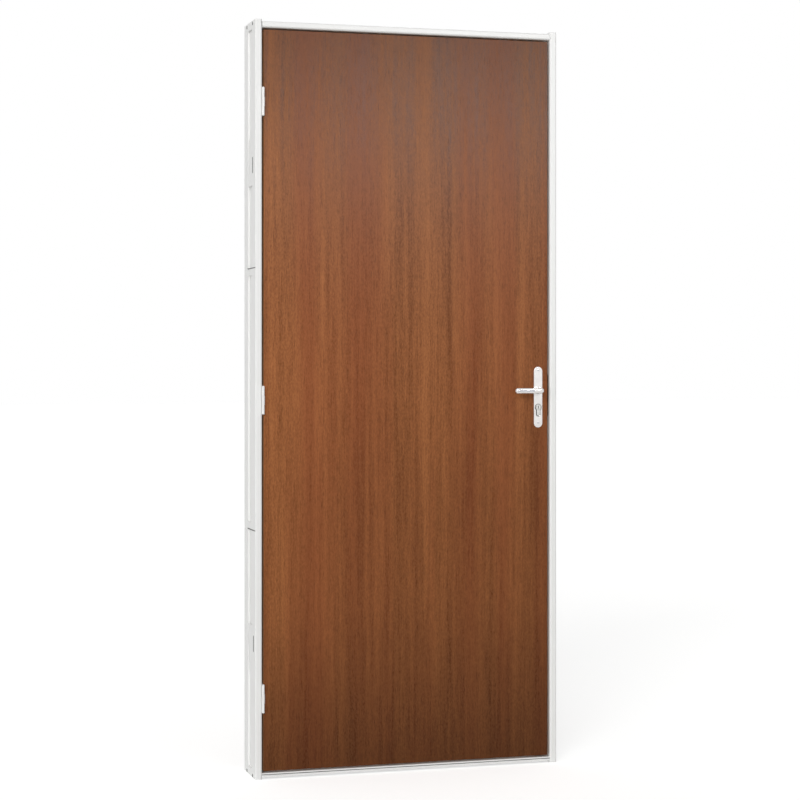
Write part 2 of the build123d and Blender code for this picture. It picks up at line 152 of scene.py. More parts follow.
class Graph:
    """A shader node tree with short ways to add nodes and join them."""

    # Sockets of the Mix node for colours, which come after those for other kinds of data
    MIX_INPUTS = (0, 6, 7)
    MIX_RESULT = 2

    def __init__(self, tree: bpy.types.NodeTree) -> None:
        """Keep the tree that nodes are added to."""
        self.tree = tree

    def add(self, kind: str, **settings: Any) -> Node:
        """Add one node.

        Args:
            kind: The node's type, without the ShaderNode in front.
            settings: Properties of the node to set.

        Returns:
            The new node.
        """
        node = self.tree.nodes.new("ShaderNode" + kind)
        for name, value in settings.items():
            setattr(node, name, value)
        return node

    def feed(self, socket: Socket, source: Any) -> None:
        """Link a socket to another socket, or set its value.

        Args:
            socket: The input to fill.
            source: An output socket, or a plain value.
        """
        if isinstance(source, Socket):
            self.tree.links.new(source, socket)
        else:
            socket.default_value = source

    def fill(self, node: Node, values: dict[str, Any]) -> None:
        """Link or set several of a node's inputs, by their names."""
        for label, value in values.items():
            self.feed(node.inputs[label], value)

    def run(self, kind: str, *operands: Any, **settings: Any) -> Socket:
        """Add one node and fill its first inputs.

        Args:
            kind: The node's type, without the ShaderNode in front.
            operands: Values or sockets for its inputs, in their order.
            settings: Properties of the node to set.

        Returns:
            Its first output.
        """
        node = self.add(kind, **settings)
        for socket, operand in zip(node.inputs, operands):
            self.feed(socket, operand)
        return node.outputs[0]

    def math(self, operation: str, first: Any, second: Any) -> Socket:
        """Work out one sum of two values."""
        return self.run("Math", first, second, operation=operation)

    def vector(self, operation: str, first: Any, second: Any) -> Socket:
        """Work out one sum of two vectors."""
        return self.run("VectorMath", first, second, operation=operation)

    def spread(self, value: Any, source: Span, target: Span) -> Socket:
        """Map a value from one span to another, held at the ends."""
        return self.run("MapRange", value, *source, *target, clamp=True)

    def noise(self, vector: Any, stretch: Any, detail: float, roughness: float = 0.5) -> Socket:
        """Noise whose spots are drawn out by a stretch.

        Args:
            vector: Place on the surface.
            stretch: Spots per metre along X, Y and Z.
            detail: Octaves of finer noise.
            roughness: Strength of the finer octaves.

        Returns:
            Socket of the noise value, about 0 to 1.
        """
        node = self.add("TexNoise")
        drawn_out = self.vector("MULTIPLY", vector, stretch)
        self.fill(node, {"Vector": drawn_out, "Scale": 1.0, "Detail": detail, "Roughness": roughness})
        return node.outputs["Fac"]

    def mix(self, factor: Any, first: Any, second: Any, blend: str = "MIX") -> Socket:
        """Mix two colours.

        Args:
            factor: Share of the second colour.
            first: First colour or socket.
            second: Second colour or socket.
            blend: Name of the blend.

        Returns:
            The mixed colour's socket.
        """
        node = self.add("Mix", data_type="RGBA", blend_type=blend)
        for index, source in zip(self.MIX_INPUTS, (factor, first, second)):
            self.feed(node.inputs[index], source)
        return node.outputs[self.MIX_RESULT]


class EffectGroup:
    """A shader node group that several finishes share."""

    def __init__(self, name: str, inputs: dict[str, str], outputs: dict[str, str]) -> None:
        """Make an empty group with its sockets.

        Args:
            name: The group's name.
            inputs: Input names with their kinds, such as Float or Color.
            outputs: Output names with their kinds.
        """
        self.tree = bpy.data.node_groups.new(name, "ShaderNodeTree")
        for way, sockets in (("INPUT", inputs), ("OUTPUT", outputs)):
            for label, kind in sockets.items():
                self.tree.interface.new_socket(label, in_out=way, socket_type="NodeSocket" + kind)
        self.graph = Graph(self.tree)
        self.given = self.tree.nodes.new("NodeGroupInput").outputs
        self.result = self.tree.nodes.new("NodeGroupOutput")

    def place(self, graph: Graph, **values: Any) -> bpy.types.bpy_prop_collection:
        """Use the group in a material.

        Args:
            graph: The material's graph.
            values: Values or sockets for the inputs, by their names.

        Returns:
            The group's outputs.
        """
        node = graph.add("Group", node_tree=self.tree)
        graph.fill(node, values)
        return node.outputs


class StraightGrain(EffectGroup):
    """Straight wood grain along Z: broad bands, streaks, fibres, flecks and short pores."""

    SWAY_STRETCH = (1.7, 1.7, 0.6)
    SWAY = 26 * MM
    BAND_STRETCH = (17.0, 17.0, 0.5)
    STREAK_STRETCH = (78.0, 78.0, 1.9)
    FIBRE_STRETCH = (300.0, 300.0, 12.0)
    FLECK_STRETCH = (330.0, 330.0, 130.0)
    PORE_STRETCH = (520.0, 520.0, 38.0)
    HUE_STRETCH = (10.0, 10.0, 0.4)
    HUE_SHIFT = (3.1, 7.7, 1.9)
    STREAK_ROUGHNESS = 0.6
    BAND_SHARE = 0.4
    STREAK_SHARE = 0.44
    FIBRE_SHARE = 0.24
    FLECK_SHARE = 0.36
    TONE_SPAN = (0.54, 0.9)
    PORE_SPAN = (0.56, 0.74)
    PORE_DARKNESS = 0.36
    HUE_SPAN = (0.4, 0.64)
    REDNESS = (0.0, 0.4)

    def __init__(self) -> None:
        """Build the group."""
        super().__init__(
            "straight_grain",
            {"Vector": "Vector", "Light": "Color", "Dark": "Color", "Red": "Color", "Pore": "Color"},
            {"Color": "Color", "Tone": "Float", "Height": "Float"},
        )
        graph = self.graph
        sway = graph.math("SUBTRACT", graph.noise(self.given["Vector"], self.SWAY_STRETCH, 1.0), 0.5)
        sideways = graph.run("CombineXYZ", graph.math("MULTIPLY", sway, self.SWAY))
        place = graph.vector("ADD", self.given["Vector"], sideways)
        bands = graph.noise(place, self.BAND_STRETCH, 2.0)
        streaks = graph.noise(place, self.STREAK_STRETCH, 3.0, self.STREAK_ROUGHNESS)
        fibres = graph.noise(place, self.FIBRE_STRETCH, 2.0)
        flecks = graph.noise(place, self.FLECK_STRETCH, 1.0)
        pores = graph.spread(graph.noise(place, self.PORE_STRETCH, 1.0), self.PORE_SPAN, UNIT)
        hue = graph.noise(graph.vector("ADD", place, self.HUE_SHIFT), self.HUE_STRETCH, 2.0)
        coarse = self.weighed((bands, self.BAND_SHARE), (streaks, self.STREAK_SHARE))
        fine = self.weighed((fibres, self.FIBRE_SHARE), (flecks, self.FLECK_SHARE))
        tone = graph.spread(graph.math("ADD", coarse, fine), self.TONE_SPAN, UNIT)
        colour = graph.mix(tone, self.given["Dark"], self.given["Light"])
        colour = graph.mix(graph.spread(hue, self.HUE_SPAN, self.REDNESS), colour, self.given["Red"])
        colour = graph.mix(graph.math("MULTIPLY", pores, self.PORE_DARKNESS), colour, self.given["Pore"])
        height = graph.math("SUBTRACT", fibres, pores)
        graph.fill(self.result, {"Color": colour, "Tone": tone, "Height": height})

    def weighed(self, *layers: tuple[Any, float]) -> Socket:
        """Add up two layers, each times its share."""
        return self.graph.math("ADD", *[self.graph.math("MULTIPLY", *layer) for layer in layers])


class SurfaceMottle(EffectGroup):
    """Slow blotches and a fine grain, for coats, paint and plated metal."""

    BLOTCH_SPAN = (0.3, 0.7)

    def __init__(self) -> None:
        """Build the group."""
        super().__init__(
            "surface_mottle",
            {"Vector": "Vector", "Blotches": "Vector", "Grain": "Vector"},
            {"Mottle": "Float", "Height": "Float"},
        )
        graph = self.graph
        blotches = graph.noise(self.given["Vector"], self.given["Blotches"], 3.0)
        mottle = graph.spread(blotches, self.BLOTCH_SPAN, UNIT)
        height = graph.noise(self.given["Vector"], self.given["Grain"], 2.0)
        graph.fill(self.result, {"Mottle": mottle, "Height": height})


class BrushedLines(EffectGroup):
    """Fine drawn-out scratches of a brushed or satin metal."""

    LINE_SPAN = (0.28, 0.72)
    LINE_ROUGHNESS = 0.65

    def __init__(self) -> None:
        """Build the group."""
        super().__init__("brushed_lines", {"Vector": "Vector", "Stretch": "Vector"}, {"Lines": "Float"})
        lines = self.graph.noise(self.given["Vector"], self.given["Stretch"], 3.0, self.LINE_ROUGHNESS)
        self.graph.fill(self.result, {"Lines": self.graph.spread(lines, self.LINE_SPAN, UNIT)})


@dataclass
class Effects:
    """The node groups that the finishes share."""

    grain: StraightGrain
    mottle: SurfaceMottle
    lines: BrushedLines


def new_material(name: str) -> tuple[Material, Graph, Node]:
    """Make a material.

    Args:
        name: Its name.

    Returns:
        The material, its graph and its shader.
    """
    material = bpy.data.materials.new(name)
    material.use_nodes = True
    return material, Graph(material.node_tree), material.node_tree.nodes["Principled BSDF"]


@dataclass(frozen=True)
class Finish:
    """What every finish has: a name and a gloss.

    Attributes:
        name: Name of the material.
        roughness: Middle of the surface's roughness.
        roughness_range: How far the roughness moves to each side.
    """

    name: str
    roughness: float
    roughness_range: float

    def start(self) -> tuple[Material, Graph, Node, Socket]:
        """Make the material, and give it with its graph, its shader and the place on the piece."""
        material, graph, shader = new_material(self.name)
        return material, graph, shader, graph.add("TexCoord").outputs["Object"]

    def texture(self, graph: Graph, shader: Node, gloss: Socket, height: Socket, depth: float) -> None:
        """Let one value move the roughness over the surface and another one raise it.

        Args:
            graph: The material's graph.
            shader: Its shader.
            gloss: Socket of the value for the roughness, 0 to 1.
            height: Socket of the height, about 0 to 1.
            depth: Real depth of that height, in metres.
        """
        span = (self.roughness - self.roughness_range, self.roughness + self.roughness_range)
        bump = graph.add("Bump")
        graph.fill(bump, {"Strength": 1.0, "Distance": depth, "Height": height})
        graph.fill(shader, {"Roughness": graph.spread(gloss, UNIT, span), "Normal": bump.outputs[0]})


@dataclass(frozen=True)
class WoodFinish(Finish):
    """Lacquered wood.

    Attributes:
        light: Colour of the pale streaks.
        dark: Colour of the dark streaks.
        red: Colour of the reddish bands.
        pore: Colour inside the pores.
        lacquer: Specular level of the lacquer.
        grain: Direction of the grain.
        painted_shade_stops: Height of the piece, as a share, with how much of the colour is kept there, or
            nothing to keep it whole; this is painted shade from bottom to top.
        height: Lowest and highest point that the painted shade runs over.
        width: Left and right end that the painted shade runs over.
        across: Share of the colour kept at those ends, for painted shade from side to side.
    """

    light: str
    dark: str
    red: str
    pore: str
    lacquer: float
    grain: Grain = Grain.UPRIGHT
    painted_shade_stops: tuple[Span, ...] = ()
    height: Span = UNIT
    width: Span = UNIT
    across: Span = (1.0, 1.0)

    PORE_DEPTH = 0.06 * MM

    def paint_shade(self, graph: Graph, place: Socket, colour: Socket) -> Socket:
        """Darken the colour by the painted shade, by height and from side to side.

        Args:
            graph: The material's graph.
            place: Socket of the place on the piece.
            colour: Socket of the wood's colour.

        Returns:
            Socket of the colour with the painted shade.
        """
        split = graph.add("SeparateXYZ")
        graph.feed(split.inputs[0], place)
        ramp = graph.add("ValToRGB")
        graph.feed(ramp.inputs[0], graph.spread(split.outputs[2], self.height, UNIT))
        ramp.color_ramp.interpolation = "CARDINAL"
        stops = ramp.color_ramp.elements
        while len(stops) < len(self.painted_shade_stops):
            stops.new(0.5)
        for stop, (position, depth) in zip(stops, self.painted_shade_stops):
            stop.position = position
            stop.color = (depth, depth, depth, 1.0)
        upright = graph.mix(1.0, colour, ramp.outputs[0], "MULTIPLY")
        depth = graph.spread(split.outputs[0], self.width, self.across)
        sideways = graph.run("CombineColor", depth, depth, depth)
        return graph.mix(1.0, upright, sideways, "MULTIPLY")

    def material(self, effects: Effects) -> Material:
        """Build the material."""
        material, graph, shader, place = self.start()
        turn = graph.add("VectorRotate", rotation_type="Y_AXIS")
        graph.fill(turn, {"Vector": place, "Angle": self.grain.value})
        shades = {label: linear(getattr(self, label.lower())) for label in ("Light", "Dark", "Red", "Pore")}
        grain = effects.grain.place(graph, Vector=turn.outputs[0], **shades)
        # Painted shade: the ramp darkens the veneer by height and from side to side.
        colour = self.paint_shade(graph, place, grain["Color"]) if self.painted_shade_stops else grain["Color"]
        graph.fill(shader, {"Base Color": colour, "Specular IOR Level": self.lacquer})
        self.texture(graph, shader, grain["Tone"], grain["Height"], self.PORE_DEPTH)
        return material


@dataclass(frozen=True)
class CoatFinish(Finish):
    """Powder coat or paint on metal.

    Attributes:
        colour: Colour of the coat.
        shade: Its colour in the duller blotches.
        grain: Spots per metre of the coat's fine unevenness.
        depth: Depth of that unevenness, in metres.
    """

    colour: str
    shade: str
    grain: float
    depth: float

    BLOTCHES = (6.0, 6.0, 3.0)

    def material(self, effects: Effects) -> Material:
        """Build the material."""
        material, graph, shader, place = self.start()
        mottle = effects.mottle.place(graph, Vector=place, Blotches=self.BLOTCHES, Grain=(self.grain,) * 3)
        colour = graph.mix(mottle["Mottle"], linear(self.shade), linear(self.colour))
        graph.feed(shader.inputs["Base Color"], colour)
        self.texture(graph, shader, mottle["Mottle"], mottle["Height"], self.depth)
        return material


@dataclass(frozen=True)
class MetalFinish(Finish):
    """Bare, plated or anodised metal with fine lines.

    Attributes:
        colour: Colour of the metal.
        shade: Its colour in the duller blotches.
        lines: Lines per metre along X, Y and Z.
        depth: Depth of the lines, in metres.
    """

    colour: str
    shade: str
    lines: Point
    depth: float

    BLOTCHES = (45.0, 45.0, 45.0)
    GRAIN = (2500.0, 2500.0, 2500.0)

    def material(self, effects: Effects) -> Material:
        """Build the material."""
        material, graph, shader, place = self.start()
        mottle = effects.mottle.place(graph, Vector=place, Blotches=self.BLOTCHES, Grain=self.GRAIN)
        lines = effects.lines.place(graph, Vector=place, Stretch=self.lines)
        colour = graph.mix(mottle["Mottle"], linear(self.shade), linear(self.colour))
        graph.fill(shader, {"Metallic": 1.0, "Base Color": colour})
        self.texture(graph, shader, lines["Lines"], lines["Lines"], self.depth)
        return material


LEAF_LOW, LEAF_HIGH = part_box("front_skin")
VENEER = WoodFinish(
    name="veneer", roughness=0.31, roughness_range=0.06, light="ae6d40", dark="794627", red="924d2e",
    pore="4d2a18", lacquer=0.07,
    # Painted shade: the veneer is much darker towards the bottom, darker at the top, and darker towards the
    # lock side.
    painted_shade_stops=((0.0, 0.38), (0.2, 0.73), (0.38, 0.86), (0.58, 1.0), (0.82, 0.9), (1.0, 0.57)),
    height=(LEAF_LOW.z, LEAF_HIGH.z), width=(LEAF_LOW.x, LEAF_HIGH.x), across=(1.0, 0.8),
)
UPRIGHT_EDGE = WoodFinish(
    name="stile_wood", roughness=0.46, roughness_range=0.06, light="c79a70", dark="a97850",
    red="ad7550", pore="7a5236", lacquer=0.25,
)
CROSS_EDGE = replace(UPRIGHT_EDGE, name="rail_wood", grain=Grain.ACROSS)
FRAME_COAT = CoatFinish(
    name="powder_coat", roughness=0.45, roughness_range=0.05, colour="ebebea", shade="e6e6e4",
    grain=900.0, depth=0.02 * MM,
)
HINGE_PAINT = CoatFinish(
    name="hinge_paint", roughness=0.3, roughness_range=0.05, colour="f2f1ef", shade="ebeae8",
    grain=1200.0, depth=0.015 * MM,
)
HANDLE_METAL = MetalFinish(
    name="satin_aluminium", roughness=0.2, roughness_range=0.05, colour="dcd9d7", shade="d0cdcb",
    lines=(4000.0, 4000.0, 60.0), depth=0.004 * MM,
)
# Brushed aluminium, partly a real finish with lines and gloss, and partly painted shade: darker than the
# handle so the lever's flat face looks grey between bright bevels.
PAINTED_SHADE_LEVER_FLAT = MetalFinish(
    name="brushed_aluminium_painted_shade", roughness=0.3, roughness_range=0.08, colour="9e9ea3", shade="949499",
    lines=(60.0, 4000.0, 4000.0), depth=0.006 * MM,
)
LOCK_STEEL = MetalFinish(
    name="brushed_steel", roughness=0.36, roughness_range=0.1, colour="cfcfcd", shade="c2c2c0",
    lines=(3500.0, 3500.0, 45.0), depth=0.01 * MM,
)
CYLINDER_PLATE = MetalFinish(
    name="satin_nickel", roughness=0.28, roughness_range=0.08, colour="b9b8b5", shade="acaba8",
    lines=(300.0, 3000.0, 300.0), depth=0.005 * MM,
)
SCREW_STEEL = MetalFinish(
    name="zinc_steel", roughness=0.32, roughness_range=0.08, colour="b2b3b4", shade="a4a5a6",
    lines=(900.0, 900.0, 900.0), depth=0.006 * MM,
)
# Dark grey for painted shadow: strips at the tie joints and in the threshold's groove, and in front of the
# anchors' straps.
PAINTED_FRAME_SHADOW = CoatFinish(
    name="painted_frame_shadow", roughness=0.7, roughness_range=0.1, colour="6f6f6e", shade="5f5f5e",
    grain=1500.0, depth=0.03 * MM,
)
BLACK_SCREW = replace(
    PAINTED_FRAME_SHADOW, name="black_screw", roughness=0.6, colour="262627", shade="1c1c1d", depth=0.01 * MM
)
# Near black for painted shade: in screw recesses, the gap round the cylinder, its keyway and the plug's
# seam.
PAINTED_RECESS_SHADE = replace(
    SCREW_STEEL, name="painted_recess_shade", roughness=0.6, roughness_range=0.1, colour="343231", shade="282625"
)


class Dresser:
    """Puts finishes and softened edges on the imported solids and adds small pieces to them."""

    SOFT_ANGLE = math.radians(38)
    SOFT_STEPS = 2
    WELD = 0.002 * MM

    def __init__(self) -> None:
        """Build the shared effects and every finish."""
        effects = Effects(StraightGrain(), SurfaceMottle(), BrushedLines())
        finishes = (
            VENEER, UPRIGHT_EDGE, CROSS_EDGE, FRAME_COAT, HINGE_PAINT, HANDLE_METAL, PAINTED_SHADE_LEVER_FLAT,
            LOCK_STEEL, CYLINDER_PLATE, SCREW_STEEL, BLACK_SCREW, PAINTED_RECESS_SHADE, PAINTED_FRAME_SHADOW,
        )
        self.materials = {finish.name: finish.material(effects) for finish in finishes}

    def mesh(self, name: str, surface: Surface, *finishes: Finish) -> Mesh:
        """Turn a worked surface into a mesh.

        Args:
            name: The mesh's name.
            surface: The surface, which is freed.
            finishes: Finishes in the order of the faces' indices.

        Returns:
            The mesh with its materials.
        """
        mesh = bpy.data.meshes.new(name)
        surface.to_mesh(mesh)
        surface.free()
        for finish in finishes:
            mesh.materials.append(self.materials[finish.name])
        return mesh

    def dress(self, finish: Finish, softened: float, *nodes: str) -> None:
        """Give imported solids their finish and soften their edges.

        Args:
            finish: The finish they get.
            softened: Width of their softened edges, in metres.
            nodes: Names of the solids' nodes.
        """
        for node in nodes:
            solid = frame["nodes"][node]
            for slot in solid.material_slots:
                slot.material = self.materials[finish.name]
            weld = solid.modifiers.new("joined_faces", "WELD")
            weld.merge_threshold = self.WELD
            bevel = solid.modifiers.new("softened_edges", "BEVEL")
            bevel.width = softened
            bevel.segments = self.SOFT_STEPS
            bevel.limit_method = "ANGLE"
            bevel.angle_limit = self.SOFT_ANGLE
            bevel.use_clamp_overlap = False
            bevel.loop_slide = False
            solid.modifiers.new("even_shading", "WEIGHTED_NORMAL")
            log.info("dressed %s in %s", node, finish.name)

    def add(self, name: str, mesh: Mesh, place: Matrix, body: Body, slot: Slot) -> None:
        """Add a small piece.

        Args:
            name: The piece's name.
            mesh: Its mesh, with its materials.
            place: Where it goes.
            body: The body it rides on.
            slot: Not used.
        """
        piece = linked(name, mesh)
        piece.matrix_world = place
        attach(piece, body.value)
        log.info("added %s to %s", name, body.value)

    def add_surface(
        self, name: str, surface: Surface, finish: Finish, place: Matrix, body: Body, slot: Slot
    ) -> None:
        """Add a small piece of one finish from its worked surface, which is freed."""
        self.add(name, self.mesh(name, surface, finish), place, body, slot)


def linked(name: str, data: bpy.types.ID) -> bpy.types.Object:
    """Add an object to the scene.

    Args:
        name: Its name.
        data: Its mesh, light or camera.

    Returns:
        The new object.
    """
    thing = bpy.data.objects.new(name, data)
    bpy.context.scene.collection.objects.link(thing)
    return thing


def turned_to(direction: Vector) -> Matrix:
    """Turn that makes a thing's own Z look in a direction, with its Y up."""
    return direction.to_track_quat("Z", "Y").to_matrix().to_4x4()


def looking(point: Point | Vector, facing: Facing, out: float = 0.0) -> Matrix:
    """Place and turn of a piece that looks in a direction with its own Z, so far out from a point."""
    outward = Vector(facing.value)
    return Matrix.Translation(Vector(point) + outward * out) @ turned_to(outward)


def face_of(node: str, facing: Facing) -> Vector:
    """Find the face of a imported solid's box that looks in a direction.

    Args:
        node: Name of the solid's node.
        facing: The direction.

    Returns:
        The middle of that face.
    """
    low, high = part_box(node)
    middle = (low + high) / 2
    for axis, step in enumerate(facing.value):
        if step:
            middle[axis] = high[axis] if step > 0 else low[axis]
    return middle


def half_turn(steps: int) -> list[float]:
    """Angles of a half turn in even steps, from 0 on."""
    return [math.pi * step / steps for step in range(steps + 1)]


def block(size: Point) -> Surface:
    """Make a plain block about its own middle.

    Args:
        size: Its size along X, Y and Z.

    Returns:
        The block's surface.
    """
    surface = bmesh.new()
    bmesh.ops.create_cube(surface, size=1.0)
    bmesh.ops.scale(surface, vec=size, verts=surface.verts[:])
    return surface


def turned(profile: list[Span], segments: int, ring: bool = False) -> Surface:
    """Turn a profile about Z, as on a lathe.

    Args:
        profile: Radius and height of its points, from one end to the other.
        segments: Steps round the axis.
        ring: Whether the profile's last point joins its first.

    Returns:
        The turned surface.
    """
    surface = bmesh.new()
    rows = []
    for radius, height in profile:
        angles = [2 * math.pi * step / segments for step in range(segments if radius else 1)]
        corners = [(radius * math.cos(a), radius * math.sin(a), height) for a in angles]
        rows.append([surface.verts.new(corner) for corner in corners])
    for inner, outer in zip(rows, rows[1:] + rows[:1] if ring else rows[1:]):
        for step in range(segments):
            following = (step + 1) % segments
            near = [inner[step % len(inner)], outer[step % len(outer)]]
            far = [outer[following % len(outer)], inner[following % len(inner)]]
            surface.faces.new(list(dict.fromkeys(near + far)))
    bmesh.ops.recalc_face_normals(surface, faces=surface.faces[:])
    return surface


def round_ended(size: Span, thickness: float) -> Surface:
    """Make a flat slab with fully rounded ends, whose face lies at height 0 and looks along Z.

    Args:
        size: Its width along X and along Y.
        thickness: How far it goes down from its face.

    Returns:
        The slab's surface.
    """
    half_x, half_y = size[0] / 2, size[1] / 2
    radius = min(half_x, half_y)
    surface = bmesh.new()
    corners = []
    for quarter, (side_x, side_y) in enumerate(((1, 1), (-1, 1), (-1, -1), (1, -1))):
        for step in range(ROUND_STEPS + 1):
            angle = (quarter + step / ROUND_STEPS) * math.pi / 2
            x = side_x * (half_x - radius) + radius * math.cos(angle)
            y = side_y * (half_y - radius) + radius * math.sin(angle)
            corners.append(surface.verts.new((x, y, 0.0)))
    bmesh.ops.remove_doubles(surface, verts=corners, dist=radius * DOUBLES_SHARE)
    top = surface.faces.new(surface.verts[:])
    lowered = bmesh.ops.extrude_face_region(surface, geom=[top], use_keep_orig=True)["geom"]
    for item in lowered:
        if isinstance(item, bmesh.types.BMVert):
            item.co.z -= thickness
    bmesh.ops.recalc_face_normals(surface, faces=surface.faces[:])
    return surface


@dataclass(frozen=True)
class Screw:
    """A countersunk screw's head as it shows in a plate.

    Attributes:
        diameter: Diameter of the head.
        crown: Rise of its middle above the plate.
        recess: Depth of its recess.
        drive: Shape of the recess.
    """

    diameter: float
    crown: float
    recess: float
    drive: Drive = Drive.CROSS

    SEGMENTS = 36
    CROWN_SHARES = (0.0, 0.2, 0.4)
    RIM_SHARES = (0.92, 0.98)
    SLOT_WIDTH = 0.17
    HEX_WIDTH = 0.48
    REACH = {Drive.SLOT: 0.86, Drive.CROSS: 0.58, Drive.HEX: 0.56}
    SEAT = 0.4 * MM
    FLOOR = 0.005 * MM

    def profile(self) -> list[Span]:
        """Profile from the head's middle to its seat, with the recess's floor just clear of the plate."""
        radius = self.diameter / 2
        rim = self.recess + self.FLOOR
        shares = (*self.CROWN_SHARES, self.REACH[self.drive], *self.RIM_SHARES)
        crowned = [(radius * share, rim + self.crown * (1 - share ** 2)) for share in shares]
        return crowned + [(radius, rim / 2), (radius, -self.SEAT), (0.0, -self.SEAT)]

    def sides(self) -> list[Vector]:
        """Directions square to the recess's straight sides."""
        if self.drive is Drive.HEX:
            return [Vector((math.cos(a), math.sin(a), 0.0)) for a in (0.0, math.pi / 3, 2 * math.pi / 3)]
        if self.drive is Drive.SLOT:
            return [Vector((0.0, 1.0, 0.0))]
        return [Vector((0.0, 1.0, 0.0)), Vector((1.0, 0.0, 0.0))]

    def in_recess(self, point: Vector) -> bool:
        """Tell whether a point of the head lies in its recess."""
        radius = self.diameter / 2
        if point.z <= 0.0 or math.hypot(point.x, point.y) > radius * self.REACH[self.drive]:
            return False
        across = [abs(point.dot(side)) < self.half_width() for side in self.sides()]
        return all(across) if self.drive is Drive.HEX else any(across)

    def half_width(self) -> float:
        """Half of the recess's width between its straight sides."""
        share = self.HEX_WIDTH if self.drive is Drive.HEX else self.SLOT_WIDTH
        return share * self.diameter / 2

    def mesh(self, name: str, dresser: Dresser, finish: Finish) -> Mesh:
        """Build the head with its recess sunk in and coloured with painted shade.

        Args:
            name: The mesh's name.
            dresser: Keeper of the materials.
            finish: Finish of the head.

        Returns:
            The mesh, looking along Z.
        """
        head = turned(self.profile(), self.SEGMENTS)
        for side in self.sides():
            for offset in (-self.half_width(), self.half_width()):
                everything = head.verts[:] + head.edges[:] + head.faces[:]
                bmesh.ops.bisect_plane(head, geom=everything, plane_co=side * offset, plane_no=side)
        floor = [face for face in head.faces if self.in_recess(face.calc_center_median())]
        sunk = bmesh.ops.extrude_face_region(head, geom=floor)["geom"]
        bmesh.ops.delete(head, geom=floor, context="FACES")
        for item in sunk:
            if isinstance(item, bmesh.types.BMVert):
                item.co.z -= self.recess
            elif isinstance(item, bmesh.types.BMFace):
                # The recess's faces take the painted shade.
                item.material_index = 1
        return dresser.mesh(name, head, finish, PAINTED_RECESS_SHADE)


